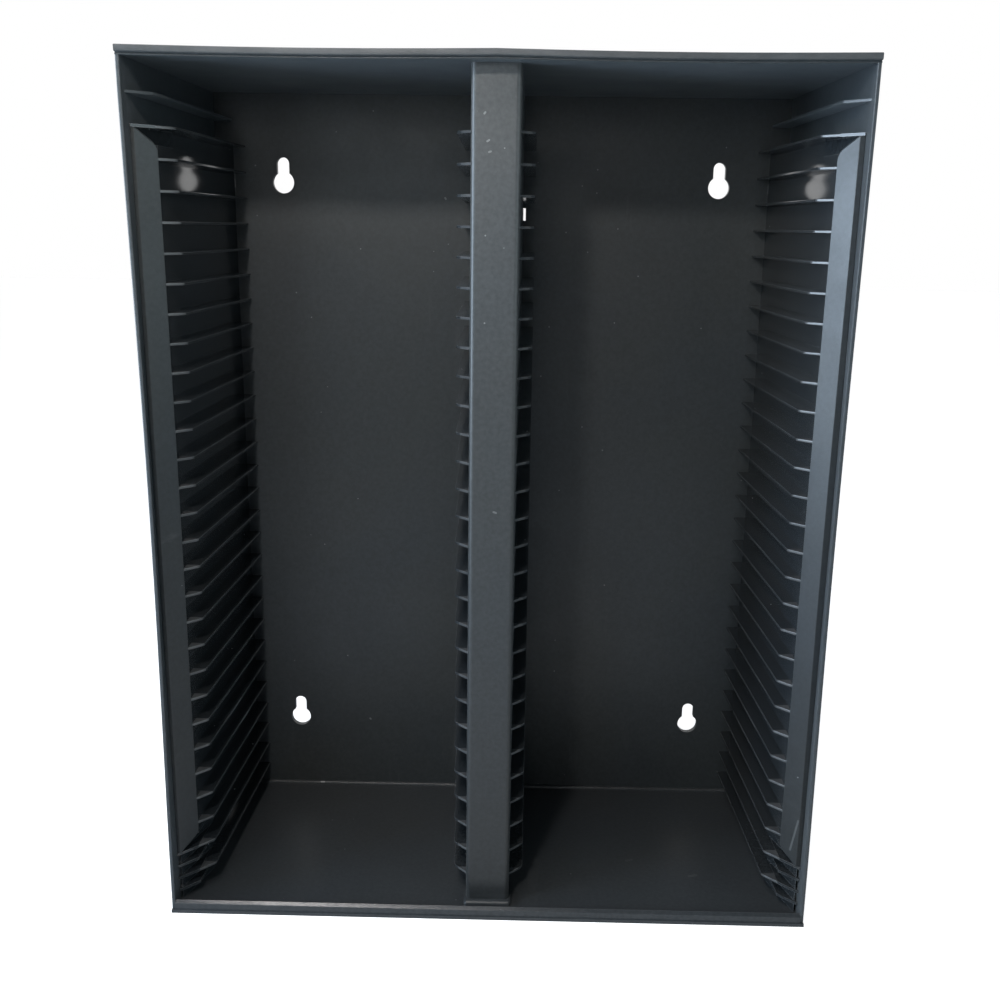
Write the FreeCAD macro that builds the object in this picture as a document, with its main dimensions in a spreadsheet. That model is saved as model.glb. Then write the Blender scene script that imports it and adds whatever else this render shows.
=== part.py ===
import FreeCAD, Part
import math
import os
import Sketcher

# Rack of moulded plastic for two columns of compact disc cases, to stand or to hang on a wall.
# Every piece is drawn with X across the rack, Y running back from the front edge and Z up from the floor.
# The finished rack has its origin under the middle of its base.

sizes = [
    # heights
    ("slot_pitch", 12.9),        # from one rib to the next
    ("rib_count", 28),           # ribs on each slot wall
    ("rib_thick", 1.2),
    ("floor_gap", 11.5),         # clear height under the lowest rib
    ("double_gap", 25.7),        # clear height of the top compartment, for a double case
    ("base_thick", 1.6),
    ("top_thick", 3.6),
    # widths, from the middle outwards
    ("divider_width", 20.9),
    ("slot_mouth", 131.5),       # clear width between the slot walls at the front
    ("strip_width", 7.0),        # width of the bevelled strip, which slopes at 45 degrees
    ("strip_land", 1.75),         # flat front of the strip beside the skin
    ("skin", 1.4),
    ("rib_reach", 6.5),          # how far a rib stands out from its wall
    # depths, from the front edge backwards
    ("inside_depth", 127.0),
    ("back_thick", 3.0),
    ("skin_set", 1.2),           # front edge of the skins
    ("land_set", 8.6),           # front of the strip
    ("ledge_fore", 1.2),         # how far the ledge comes in front of the webs
    ("divider_set", 11.3),       # face of the divider
    ("divider_rib_set", 18.0),   # where the divider's ribs begin
    # walls and drafts
    ("wall_thick", 2.0),
    ("strip_thick", 1.2),
    ("skin_lean", 0.027),        # draft of the skins, as a slope
    ("slot_lean", 0.035),        # draft of the side slot walls
    ("divider_lean", 0.0117),    # draft of the divider's walls
    ("seat_gap", 0.15),          # clearance between pieces that slide together
    # front lips of the base and the top
    ("base_lip_high", 4.4),
    ("base_lip_wide", 3.0),
    ("base_lip_set", 0.7),
    ("base_lip_round", 2.6),     # the lip is a quarter round towards the front
    ("top_lip_high", 0.6),
    ("top_lip_wide", 2.2),
    ("top_lip_set", 0.8),
    ("plate_corner", 0.5),
    ("top_edge_round", 0.4),
    # ends of the strip and small roundings
    ("mitre_drop", 6.2),
    ("skin_round", 0.8),
    ("tip_round", 1.2),
    ("divider_round", 1.8),
    # foot and head of the divider
    ("plinth_high", 2.2),
    ("plinth_proud", 1.0),
    ("plinth_front", 2.6),
    ("plinth_deep", 9.0),
    ("plinth_round", 1.5),
    ("key_deep", 12.0),
    ("key_high", 8.0),
    # webs in the open foot of each slot wall, half a pitch apart
    ("low_webs", 4),
    # wall keyholes
    ("key_spacing_x", 225.3),
    ("key_spacing_z", 300.2),
    ("key_head", 11.0),
    ("key_neck", 6.4),
    ("key_rise", 9.3),
    ("key_drop", 0.55),           # the pattern sits this far below the middle of the panel
    # snap tabs through the back panel
    ("tab_high", 5.6),
    ("tab_foot", 40.2),          # from the floor up to the lower tabs of the slot walls
    ("tab_head", 14.7),          # from the upper tabs of the slot walls up to their top
    ("post_tab_foot", 54.2),     # the same for the divider's tabs
    ("post_tab_head", 55.5),
    ("tab_clear", 0.35),
    ("post_slit", 1.5),          # extra room beside the right tabs of the divider
]

tab_count = 2  # snap tabs on each wall, one above the other
near = 0.01    # places closer than this count as one
rough = 1.0    # size that an outline is drawn at, before its sizes are bound

doc = FreeCAD.newDocument("cd_rack")
sheet = doc.addObject("Spreadsheet::Sheet", "Sheet")
for row, (alias, value) in enumerate(sizes, start=1):
    sheet.set(f"A{row}", alias)
    sheet.set(f"B{row}", str(value))
    sheet.setAlias(f"B{row}", alias)
doc.recompute()

# Heights that follow from the sheet.
floor_z = "Sheet.base_thick"
rib_z = "(Sheet.base_thick + Sheet.floor_gap)"
top_rib_z = f"({rib_z} + (Sheet.rib_count - 1) * Sheet.slot_pitch)"
wall_top_z = f"({top_rib_z} + Sheet.rib_thick)"
ceiling_z = f"({wall_top_z} + Sheet.double_gap)"
post_foot_z = "(Sheet.base_thick + Sheet.plinth_high)"
key_z = f"(({floor_z} + {ceiling_z}) / 2 - Sheet.key_spacing_z / 2 - Sheet.key_drop)"
tab_z = f"({floor_z} + Sheet.tab_foot)"
tab_step = f"({wall_top_z} - Sheet.tab_head - Sheet.tab_high - {tab_z})"
post_tab_z = f"({post_foot_z} + Sheet.post_tab_foot)"
post_tab_step = f"({ceiling_z} - Sheet.post_tab_head - Sheet.tab_high - {post_tab_z})"

# Places across and along the rack that follow from the sheet.
wall_x = "(Sheet.divider_width / 2 + Sheet.slot_mouth)"
strip_x = f"({wall_x} + Sheet.strip_width)"
skin_x = f"({strip_x} + Sheet.strip_land)"
outer_x = f"({skin_x} + Sheet.skin)"
strip_end_y = "(Sheet.land_set + Sheet.strip_width)"
back_y = "Sheet.inside_depth"
rear_y = "(Sheet.inside_depth + Sheet.back_thick)"
strip_back = "(Sheet.strip_thick * sqrt(2))"


def outer_at(y):
    return f"({outer_x} - Sheet.skin_lean * ({y} - Sheet.skin_set))"


def skin_at(y):
    return f"({skin_x} - Sheet.skin_lean * ({y} - Sheet.skin_set))"


def wall_at(y):
    return f"({wall_x} - Sheet.slot_lean * ({y} - {strip_end_y}))"


def post_at(y):
    return f"(Sheet.divider_width / 2 + Sheet.divider_lean * ({y} - Sheet.divider_set))"


def new_body(label):
    body = doc.addObject("PartDesign::Body", label)
    body.Label = label
    body.AllowCompound = True
    body.setExpression("Placement.Base.y", f"-{rear_y} / 2")
    return body


def origin_part(body, role):
    return next(item for item in body.Origin.OriginFeatures if item.Role == role)


def new_sketch(body, name, plane, offset):
    sketch = body.newObject("Sketcher::SketchObject", name)
    sketch.AttachmentSupport = [(origin_part(body, plane), "")]
    sketch.MapMode = "FlatFace"
    sketch.setExpression("AttachmentOffset.Base.z", offset)
    return sketch


def tie(sketch, point, values):
    # Fixes a point of the sketch to two expressions, measured from the sketch's origin.
    for kind, value in zip(("DistanceX", "DistanceY"), values):
        index = sketch.addConstraint(Sketcher.Constraint(kind, -1, 1, point[0], point[1], rough))
        sketch.setExpression(f"Constraints[{index}]", value)


def polygons(body, name, loops, plane="XY_Plane", offset="0"):
    # Closed outlines of straight lines, each corner tied to two expressions.
    sketch = new_sketch(body, name, plane, offset)
    for loop in loops:
        first = sketch.GeometryCount
        count = len(loop)
        turn = 2 * math.pi / count
        ring = [FreeCAD.Vector(math.cos(turn * i), math.sin(turn * i), 0) for i in range(count)]
        for i in range(count):
            sketch.addGeometry(Part.LineSegment(ring[i], ring[(i + 1) % count]))
        for i in range(count):
            joint = Sketcher.Constraint("Coincident", first + i, 2, first + (i + 1) % count, 1)
            sketch.addConstraint(joint)
        for i, corner in enumerate(loop):
            tie(sketch, (first + i, 1), corner)
    return sketch


def circles(body, name, centres, diameter, plane):
    sketch = new_sketch(body, name, plane, "0")
    for centre in centres:
        index = sketch.addGeometry(Part.Circle(FreeCAD.Vector(0, 0, 0), FreeCAD.Vector(0, 0, 1), rough))
        tie(sketch, (index, 3), centre)
        size = sketch.addConstraint(Sketcher.Constraint("Diameter", index, 2 * rough))
        sketch.setExpression(f"Constraints[{size}]", diameter)
    return sketch


def pad(body, sketch, length, both_ways=False):
    feature = body.newObject("PartDesign::Pad", "Pad")
    feature.Profile = sketch
    feature.setExpression("Length", length)
    if both_ways:
        feature.SideType = "Symmetric"
    doc.recompute()
    return feature


def pocket(body, sketch):
    # Cuts through the whole body on both sides of the sketch.
    before = body.Shape.Volume
    feature = body.newObject("PartDesign::Pocket", "Pocket")
    feature.Profile = sketch
    feature.Type = "ThroughAll"
    feature.SideType = "Symmetric"
    doc.recompute()
    if body.Shape.Volume >= before:
        raise RuntimeError(f"{body.Label}: {sketch.Name} cuts nothing")
    return feature


def edges_where(shape, test):
    return [f"Edge{i}" for i, edge in enumerate(shape.Edges, start=1) if test(edge)]


def is_upright(edge):
    low, high = edge.BoundBox.ZMin, edge.BoundBox.ZMax
    return high - low > 0.9 * edge.Length


def lies_at(edge, depth):
    # Whether an edge runs across or up at one depth behind the front.
    return abs(edge.BoundBox.YMin - depth) < near and abs(edge.BoundBox.YMax - depth) < near


def round_edges(body, test, radius):
    base = body.Tip
    edges = edges_where(base.Shape, test)
    feature = body.newObject("PartDesign::Fillet", "Fillet")
    feature.Base = (base, edges)
    feature.setExpression("Radius", radius)
    body.Tip = feature
    doc.recompute()
    return feature


def repeat_up(body, feature, step, count):
    # Copies a feature upwards, or the whole body where no feature is named.
    pattern = body.newObject("PartDesign::LinearPattern", "Rows")
    if feature is None:
        pattern.TransformMode = "Whole shape"
    else:
        pattern.Originals = [feature]
    pattern.Direction = (origin_part(body, "Z_Axis"), [""])
    pattern.setExpression("Length", f"{step} * ({count} - 1)")
    pattern.setExpression("Occurrences", count)
    body.Tip = pattern
    doc.recompute()
    return pattern


def size(alias):
    return float(sheet.get(alias))


def on_side(sign, outline):
    return [(f"{sign} * {x}", y) for x, y in outline]


def both_sides(outline):
    # A closed outline from the corners of its right half, listed from front to back.
    left = [(f"-{x}", y) for x, y in reversed(outline)]
    return outline + left


def span(low, high):
    return f"{high} - {low}"


def front_lip(body, low, high, setback, wide):
    # A bar between the skins, drawn as its section and padded to both sides.
    rear = f"({setback} + {wide})"
    section = [(setback, low), (setback, high), (rear, high), (rear, low)]
    sketch = polygons(body, "LipSection", [section], "YZ_Plane")
    return pad(body, sketch, f"2 * ({skin_at(rear)} - Sheet.seat_gap)", both_ways=True)


def divider_key(body, low):
    # A block that holds one end of the hollow divider from inside.
    side = "(Sheet.divider_width / 2 - Sheet.wall_thick - Sheet.seat_gap)"
    front = "(Sheet.divider_set + Sheet.wall_thick + Sheet.seat_gap)"
    outline = both_sides([(side, front), (side, f"({front} + Sheet.key_deep)")])
    return pad(body, polygons(body, "KeyPlan", [outline], offset=low), "Sheet.key_high")


plate_plan = both_sides([(outer_x, "0"), (outer_at(rear_y), rear_y)])


def make_base_panel():
    body = new_body("base_panel")
    pad(body, polygons(body, "PlatePlan", [plate_plan]), "Sheet.base_thick")
    round_edges(body, lambda edge: is_upright(edge) and lies_at(edge, 0), "Sheet.plate_corner")
    lip_top = "(Sheet.base_thick + Sheet.base_lip_high)"
    front_lip(body, floor_z, lip_top, "Sheet.base_lip_set", "Sheet.base_lip_wide")
    lip_z = size("base_thick") + size("base_lip_high")
    round_edges(
        body,
        lambda edge: edge.BoundBox.ZMin > lip_z - near and lies_at(edge, size("base_lip_set")),
        "min(Sheet.base_lip_round; 0.9 * Sheet.base_lip_wide; 0.9 * Sheet.base_lip_high)",
    )
    foot_x = "(Sheet.divider_width / 2 + Sheet.plinth_proud)"
    foot_front = "(Sheet.divider_set - Sheet.plinth_front)"
    foot_rear = f"({foot_front} + Sheet.plinth_deep)"
    foot = both_sides([(foot_x, foot_front), (foot_x, foot_rear)])
    pad(body, polygons(body, "FootPlan", [foot], offset=floor_z), "Sheet.plinth_high")
    foot_y = size("divider_set") - size("plinth_front")
    round_edges(body, lambda edge: is_upright(edge) and lies_at(edge, foot_y), "Sheet.plinth_round")
    rail = both_sides([(post_at(foot_rear), foot_rear), (post_at(back_y), back_y)])
    pad(body, polygons(body, "RailPlan", [rail], offset=floor_z), "Sheet.plinth_high")
    divider_key(body, post_foot_z)
    return body


def make_top_panel():
    body = new_body("top_panel")
    pad(body, polygons(body, "PlatePlan", [plate_plan], offset=ceiling_z), "Sheet.top_thick")
    round_edges(body, lambda edge: is_upright(edge) and lies_at(edge, 0), "Sheet.plate_corner")
    top_z = body.Shape.BoundBox.ZMax
    round_edges(
        body,
        lambda edge: edge.BoundBox.ZMin > top_z - near and lies_at(edge, 0),
        "Sheet.top_edge_round",
    )
    lip_low = f"({ceiling_z} - Sheet.top_lip_high)"
    front_lip(body, lip_low, ceiling_z, "Sheet.top_lip_set", "Sheet.top_lip_wide")
    divider_key(body, f"({ceiling_z} - Sheet.key_high)")
    return body


def tab_rows():
    # Every snap tab: its lower edge, its two sides across the rack, and the room beside them.
    rows = []
    side_in = wall_at(back_y)
    side_out = f"({wall_at(back_y)} + Sheet.wall_thick)"
    post_out = post_at(back_y)
    post_in = f"({post_at(back_y)} - Sheet.wall_thick)"
    clear = "Sheet.tab_clear"
    for row in range(tab_count):
        low = f"({tab_z} + {row} * {tab_step})"
        rows.append((low, (side_in, side_out), clear, clear))
        rows.append((low, (f"-{side_out}", f"-{side_in}"), clear, clear))
        low = f"({post_tab_z} + {row} * {post_tab_step})"
        rows.append((low, (post_in, post_out), clear, "Sheet.post_slit"))
        rows.append((low, (f"-{post_out}", f"-{post_in}"), clear, clear))
    return rows


def make_back_panel():
    body = new_body("back_panel")
    outline = both_sides([(outer_at(back_y), back_y), (outer_at(rear_y), rear_y)])
    pad(body, polygons(body, "PanelPlan", [outline], offset=floor_z), span(floor_z, ceiling_z))
    heads = []
    tops = []
    necks = []
    half_neck = "Sheet.key_neck / 2"
    for side in ("-Sheet.key_spacing_x / 2", "Sheet.key_spacing_x / 2"):
        for low in (key_z, f"({key_z} + Sheet.key_spacing_z)"):
            high = f"({low} + Sheet.key_rise)"
            left = f"({side} - {half_neck})"
            right = f"({side} + {half_neck})"
            heads.append((side, low))
            tops.append((side, high))
            necks.append([(left, low), (right, low), (right, high), (left, high)])
    pocket(body, circles(body, "KeyHeads", heads, "Sheet.key_head", "XZ_Plane"))
    pocket(body, circles(body, "KeyTops", tops, "Sheet.key_neck", "XZ_Plane"))
    pocket(body, polygons(body, "KeyNecks", necks, "XZ_Plane"))
    slots = []
    for low, wall, gap_in, gap_out in tab_rows():
        inner = f"({wall[0]} - {gap_in})"
        outer = f"({wall[1]} + {gap_out})"
        bottom = f"({low} - Sheet.tab_clear)"
        top = f"({low} + Sheet.tab_high + Sheet.tab_clear)"
        slots.append([(inner, bottom), (outer, bottom), (outer, top), (inner, top)])
    pocket(body, polygons(body, "TabSlots", slots, "XZ_Plane"))
    return body


def web_plan(sign, gap, forward="0"):
    # Plan of a web between a skin and its slot wall, its front on the slope of the strip.
    front_y = f"({strip_end_y} - Sheet.strip_width - Sheet.strip_land - {forward})"
    outline = [
        (f"({skin_at(front_y)} - {gap})", front_y),
        (wall_x, f"({strip_end_y} - {forward})"),
        (wall_at(back_y), back_y),
        (f"({skin_at(back_y)} - {gap})", back_y),
    ]
    return on_side(sign, outline)


def make_side_panel(label, sign):
    body = new_body(label)
    outline = [
        (outer_x, "Sheet.skin_set"),
        (outer_at(back_y), back_y),
        (skin_at(back_y), back_y),
        (skin_x, "Sheet.skin_set"),
    ]
    sketch = polygons(body, "SkinPlan", [on_side(sign, outline)], offset=floor_z)
    pad(body, sketch, span(floor_z, ceiling_z))
    front_y = size("skin_set")
    round_edges(
        body,
        lambda edge: is_upright(edge) and lies_at(edge, front_y),
        "min(Sheet.skin_round; 0.45 * Sheet.skin)",
    )
    ledge_z = f"({top_rib_z} + Sheet.slot_pitch)"
    ledge = polygons(body, "LedgePlan", [web_plan(sign, "0", "Sheet.ledge_fore")], offset=ledge_z)
    pad(body, ledge, "Sheet.rib_thick")
    return body


def make_slot_wall(label, sign):
    body = new_body(label)
    start_y = f"({strip_end_y} + {strip_back} + Sheet.seat_gap)"
    outer_y = f"({start_y} - Sheet.wall_thick)"
    outline = [
        (wall_at(start_y), start_y),
        (wall_at(back_y), back_y),
        (f"({wall_at(back_y)} + Sheet.wall_thick)", back_y),
        (f"({wall_at(outer_y)} + Sheet.wall_thick)", outer_y),
    ]
    sketch = polygons(body, "WallPlan", [on_side(sign, outline)], offset=floor_z)
    pad(body, sketch, span(floor_z, wall_top_z))
    # Webs at half a pitch below the strip, and one that closes the wall above it.
    lowest = f"({rib_z} - Sheet.slot_pitch / 2)"
    web = pad(
        body,
        polygons(body, "LowWeb", [web_plan(sign, "Sheet.seat_gap")], offset=lowest),
        "Sheet.rib_thick",
    )
    repeat_up(body, web, "Sheet.slot_pitch / 2", "Sheet.low_webs")
    pad(
        body,
        polygons(body, "TopWeb", [web_plan(sign, "Sheet.seat_gap")], offset=top_rib_z),
        "Sheet.rib_thick",
    )
    side_in = wall_at(back_y)
    side_out = f"({side_in} + Sheet.wall_thick)"
    tab_plan = [(side_in, back_y), (side_out, back_y), (side_out, rear_y), (side_in, rear_y)]
    tab = pad(
        body,
        polygons(body, "TabPlan", [on_side(sign, tab_plan)], offset=tab_z),
        "Sheet.tab_high",
    )
    repeat_up(body, tab, tab_step, str(tab_count))
    return body


def make_ribs(label, sign, start, reach_sign, line):
    # A ladder of equal ribs along a slot wall, each with a sloping front and a rounded tip.
    body = new_body(label)
    start_x, start_y = start
    reach = f"{reach_sign} * Sheet.rib_reach"
    tip_y = f"({start_y} + Sheet.rib_reach)"
    shift = f"({line(back_y)} - {line(tip_y)})"
    tip_x = f"({start_x} + {reach})"
    outline = [(start_x, start_y), (tip_x, tip_y), (f"({tip_x} + {shift})", back_y), (line(back_y), back_y)]
    pad(body, polygons(body, "RibPlan", [on_side(sign, outline)], offset=rib_z), "Sheet.rib_thick")
    uprights = [edge for edge in body.Tip.Shape.Edges if is_upright(edge)]
    fronts = sorted(uprights, key=lambda edge: edge.BoundBox.YMax)
    tip = fronts[1].CenterOfMass
    round_edges(body, lambda edge: (edge.CenterOfMass - tip).Length < near, "Sheet.tip_round")
    repeat_up(body, None, "Sheet.slot_pitch", "Sheet.rib_count")
    return body


def make_front_strip(label, sign):
    body = new_body(label)
    slant = "(Sheet.strip_thick / sqrt(2))"
    land_rear = "(Sheet.land_set + Sheet.strip_thick)"
    outline = [
        (f"({skin_at('Sheet.land_set')} - Sheet.seat_gap)", "Sheet.land_set"),
        (strip_x, "Sheet.land_set"),
        (wall_x, strip_end_y),
        (f"({wall_x} + {slant})", f"({strip_end_y} + {slant})"),
        (f"({strip_x} + {strip_back} - Sheet.strip_thick)", land_rear),
        (f"({skin_at(land_rear)} - Sheet.seat_gap)", land_rear),
    ]
    low = f"({rib_z} + Sheet.slot_pitch + Sheet.rib_thick)"
    high = top_rib_z
    pad(body, polygons(body, "StripPlan", [on_side(sign, outline)], offset=low), span(low, high))
    upper = [(strip_x, high), (wall_x, f"({high} - Sheet.mitre_drop)"), (wall_x, high)]
    lower = [(strip_x, low), (wall_x, f"({low} + Sheet.mitre_drop)"), (wall_x, low)]
    mitres = [on_side(sign, upper), on_side(sign, lower)]
    pocket(body, polygons(body, "Mitres", mitres, "XZ_Plane"))
    return body


def make_divider_post():
    body = new_body("divider_post")
    face = "Sheet.divider_width / 2"
    inner_y = "(Sheet.divider_set + Sheet.wall_thick)"
    inner_back = f"({post_at(back_y)} - Sheet.wall_thick)"
    outline = [
        (f"({face})", "Sheet.divider_set"),
        (post_at(back_y), back_y),
        (inner_back, back_y),
        (f"({face} - Sheet.wall_thick)", inner_y),
    ]
    sketch = polygons(body, "PostPlan", [both_sides(outline)], offset=post_foot_z)
    pad(body, sketch, span(post_foot_z, ceiling_z))
    face_y = size("divider_set")
    round_edges(body, lambda edge: is_upright(edge) and lies_at(edge, face_y), "Sheet.divider_round")
    outer_back = post_at(back_y)
    tab_plan = [(inner_back, back_y), (outer_back, back_y), (outer_back, rear_y), (inner_back, rear_y)]
    tab_pair = [on_side(1, tab_plan), on_side(-1, tab_plan)]
    tabs = pad(body, polygons(body, "TabPlan", tab_pair, offset=post_tab_z), "Sheet.tab_high")
    repeat_up(body, tabs, post_tab_step, str(tab_count))
    return body


pieces = [make_base_panel(), make_top_panel(), make_back_panel(), make_divider_post()]
side_start = (wall_x, strip_end_y)
post_start_y = "Sheet.divider_rib_set"
post_start = (post_at(post_start_y), post_start_y)
for name, sign in (("left", -1), ("right", 1)):
    pieces.append(make_side_panel(f"{name}_side_panel", sign))
    pieces.append(make_slot_wall(f"{name}_slot_wall", sign))
    pieces.append(make_front_strip(f"{name}_front_strip", sign))
    pieces.append(make_ribs(f"{name}_slot_ribs", sign, side_start, -1, wall_at))
    pieces.append(make_ribs(f"divider_{name}_ribs", sign, post_start, 1, post_at))

doc.recompute()
for item in doc.Objects:
    if "Invalid" in item.State or "Error" in item.State:
        raise RuntimeError(f"{item.Name} failed: {item.State}")
for piece in pieces:
    if piece.Shape.isNull() or not piece.Shape.isValid():
        raise RuntimeError(f"{piece.Label} has no valid shape")

os.makedirs("parts", exist_ok=True)
for piece in pieces:
    piece.Shape.exportStep(f"parts/{piece.Label}.step")
    print(piece.Label, len(piece.Shape.Solids), round(piece.Shape.Volume))
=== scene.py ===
import math

import bmesh
import bpy
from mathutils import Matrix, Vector


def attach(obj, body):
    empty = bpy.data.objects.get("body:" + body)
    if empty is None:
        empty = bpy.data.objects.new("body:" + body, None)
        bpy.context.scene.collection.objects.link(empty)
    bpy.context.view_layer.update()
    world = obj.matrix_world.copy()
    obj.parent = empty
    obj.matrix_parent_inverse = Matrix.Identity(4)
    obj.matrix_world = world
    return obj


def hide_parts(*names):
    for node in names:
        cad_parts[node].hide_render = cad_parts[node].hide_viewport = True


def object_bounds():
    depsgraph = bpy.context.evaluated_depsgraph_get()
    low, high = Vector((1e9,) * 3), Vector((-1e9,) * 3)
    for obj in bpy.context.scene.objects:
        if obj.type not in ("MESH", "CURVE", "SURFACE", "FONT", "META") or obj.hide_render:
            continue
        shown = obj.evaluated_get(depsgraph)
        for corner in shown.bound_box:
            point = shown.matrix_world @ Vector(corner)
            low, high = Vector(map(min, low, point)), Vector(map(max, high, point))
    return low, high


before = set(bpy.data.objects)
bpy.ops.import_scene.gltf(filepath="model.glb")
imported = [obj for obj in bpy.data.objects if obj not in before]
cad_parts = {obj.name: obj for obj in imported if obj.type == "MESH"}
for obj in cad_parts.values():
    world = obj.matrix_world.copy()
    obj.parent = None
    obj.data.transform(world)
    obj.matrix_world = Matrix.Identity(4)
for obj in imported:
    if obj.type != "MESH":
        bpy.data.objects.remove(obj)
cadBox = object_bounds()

mm = 0.001
close = 0.02  # millimetres: places nearer than this count as one
slack = 0.1  # millimetres: room when points are picked by their place
mostly = 0.9  # how far a normal has to point one way for a face to count as facing there
smoothAngle = math.radians(40)  # edges flatter than this shade smooth
frontY = cadBox[0][1]  # the rack's front edge
print("frame loaded:", len(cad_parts), "nodes")

# shared sizes in millimetres: across from the middle, back from the front edge, up from the floor
rack = {
    "pitch": 12.9, "ribCount": 28, "ribThick": 1.2, "firstRib": 13.1,
    "floor": 1.6, "ceiling": 388.3, "top": 391.9,
    "front": 0.01, "inside": 127.0, "deep": 129.99,
    "halfWide": 152.07, "rearHalf": 148.62, "seatGap": 0.15,
    "skinHalf": 150.7, "skinFront": 1.2, "skinLean": 0.027,
    "wallHalf": 141.95, "wallFront": 15.6, "wallLean": 0.035,
    "postHalf": 10.45, "postFace": 11.3, "postLean": 0.0117,
}
lastRib = rack["firstRib"] + (rack["ribCount"] - 1) * rack["pitch"]
rearShare = rack["rearHalf"] / rack["halfWide"]  # the plates are narrower at the back


def spot(x, y, z):
    return Vector((x * mm, frontY + y * mm, z * mm))


def local(place):
    return Vector((place.x, place.y - frontY, place.z)) / mm


def near(a, b):
    return abs(a - b) < close


def skinInner(y):  # inner face of the side skins, drawn in towards the back
    return rack["skinHalf"] - rack["skinLean"] * (y - rack["skinFront"])


def slotWall(y):  # face of the side slot walls
    return rack["wallHalf"] - rack["wallLean"] * (y - rack["wallFront"])


def postWall(y):  # side of the divider
    return rack["postHalf"] + rack["postLean"] * (y - rack["postFace"])


# modelling by hand: pick, pull, cut, round, fuse
def deselect():
    bpy.ops.object.select_all(action="DESELECT")


def workOn(piece):  # selected alone, and active
    deselect()
    bpy.context.view_layer.objects.active = piece
    piece.select_set(True)


def editOn():
    bpy.ops.object.mode_set(mode="EDIT")


def editOff():
    bpy.ops.object.mode_set(mode="OBJECT")


def drawOutline(name, corners):  # a point extruded from corner to corner and filled, in edit mode
    deselect()
    bpy.ops.mesh.primitive_plane_add(size=mm, location=corners[0])
    piece = bpy.context.object
    piece.name = piece.data.name = name
    bpy.ops.object.transform_apply(location=True)
    editOn()
    bpy.ops.mesh.select_mode(type="VERT")
    bpy.ops.mesh.select_all(action="SELECT")
    bpy.ops.mesh.merge(type="CENTER")
    for here, there in zip(corners, corners[1:]):
        bpy.ops.mesh.extrude_region_move(TRANSFORM_OT_translate={"value": there - here})
    bpy.ops.mesh.select_all(action="SELECT")
    bpy.ops.mesh.edge_face_add()
    return piece


def block(name, low, high):  # a cube at its size and place, in edit mode
    deselect()
    bpy.ops.mesh.primitive_cube_add(size=1, location=(low + high) / 2)
    piece = bpy.context.object
    piece.name = piece.data.name = name
    piece.scale = high - low
    bpy.ops.object.transform_apply(location=True, scale=True)
    editOn()
    return piece


def pull(step):
    bpy.ops.mesh.extrude_region_move(TRANSFORM_OT_translate={"value": Vector(step) * mm})


def shift(step):
    bpy.ops.transform.translate(value=Vector(step) * mm)


def stretch(share, middle):
    bpy.ops.transform.resize(value=share, center_override=middle)


def roundOff(radius, steps):  # the picked edges
    bpy.ops.mesh.bevel(offset=radius * mm, segments=steps, affect="EDGES")


def facesOut():
    bpy.ops.mesh.select_all(action="SELECT")
    bpy.ops.mesh.normals_make_consistent(inside=False)


def cut(point, normal, fill=False, clear=False):
    bpy.ops.mesh.select_all(action="SELECT")
    bpy.ops.mesh.bisect(plane_co=point, plane_no=normal, use_fill=fill, clear_outer=clear)


def pickNone(piece, kind):  # clears the picks, and gives the mesh
    bpy.ops.mesh.select_mode(type=kind)
    bpy.ops.mesh.select_all(action="DESELECT")
    return bmesh.from_edit_mesh(piece.data)


def pickFaces(piece, test):  # test reads a face's middle in millimetres and its normal
    mesh = pickNone(piece, "FACE")
    for face in mesh.faces:
        face.select_set(bool(test(local(face.calc_center_median()), face.normal)))
    bmesh.update_edit_mesh(piece.data)


def pickEdges(piece, test):  # test reads an edge's two ends in millimetres
    mesh = pickNone(piece, "EDGE")
    for edge in mesh.edges:
        edge.select_set(bool(test(local(edge.verts[0].co), local(edge.verts[1].co))))
    bmesh.update_edit_mesh(piece.data)


def pickPoints(piece, test):  # test reads a point's place in millimetres
    mesh = pickNone(piece, "VERT")
    for point in mesh.verts:
        point.select_set(bool(test(local(point.co))))
    mesh.select_flush_mode()
    bmesh.update_edit_mesh(piece.data)


def upright(a, b):  # an edge that climbs
    return abs(a.z - b.z) > rack["ribThick"] / 2


def bothAt(a, b, axis, value):  # both ends of an edge in one plane
    return near(getattr(a, axis), value) and near(getattr(b, axis), value)


def addModifier(piece, kind):
    workOn(piece)
    bpy.ops.object.modifier_add(type=kind)
    return piece.modifiers[-1]


def softenEdges(piece, width, steps, angle):  # every edge of a moulding is a little round
    bevel = addModifier(piece, "BEVEL")
    bevel.width = width * mm
    bevel.segments = steps
    bevel.limit_method = "ANGLE"
    bevel.angle_limit = math.radians(angle)
    bpy.ops.object.modifier_apply(modifier=bevel.name)
    bpy.ops.object.shade_smooth_by_angle(angle=smoothAngle)


def fuse(piece, other):
    union = addModifier(piece, "BOOLEAN")
    union.operation = "UNION"
    union.solver = "EXACT"
    union.object = other
    bpy.ops.object.modifier_apply(modifier=union.name)
    bpy.data.objects.remove(other)


def stack(piece, count, step):  # copies upwards in one mesh
    rows = addModifier(piece, "ARRAY")
    rows.count = count
    rows.use_relative_offset = False
    rows.use_constant_offset = True
    rows.constant_offset_displace = (0, 0, step * mm)
    bpy.ops.object.modifier_apply(modifier=rows.name)


def keepFlats(piece):  # flat faces shade flat, and only the rounded edges turn the light
    evening = addModifier(piece, "WEIGHTED_NORMAL")
    evening.keep_sharp = True
    bpy.ops.object.modifier_apply(modifier=evening.name)


bow = {"levels": 14, "flatEnds": 1.6}  # a higher flatEnds keeps the ends straighter


def bowIn(piece, low, high, depth, side, test):  # thin walls sag inwards between their held ends
    levels = bow["levels"]
    for k in range(1, levels):
        cut(spot(0, 0, low + (high - low) * k / levels), (0, 0, 1))
    for k in range(1, levels):
        height = low + (high - low) * k / levels
        pickPoints(piece, lambda p: near(p.z, height) and test(p))
        shift((-side * depth * math.sin(math.pi * k / levels) ** bow["flatEnds"], 0, 0))


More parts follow.
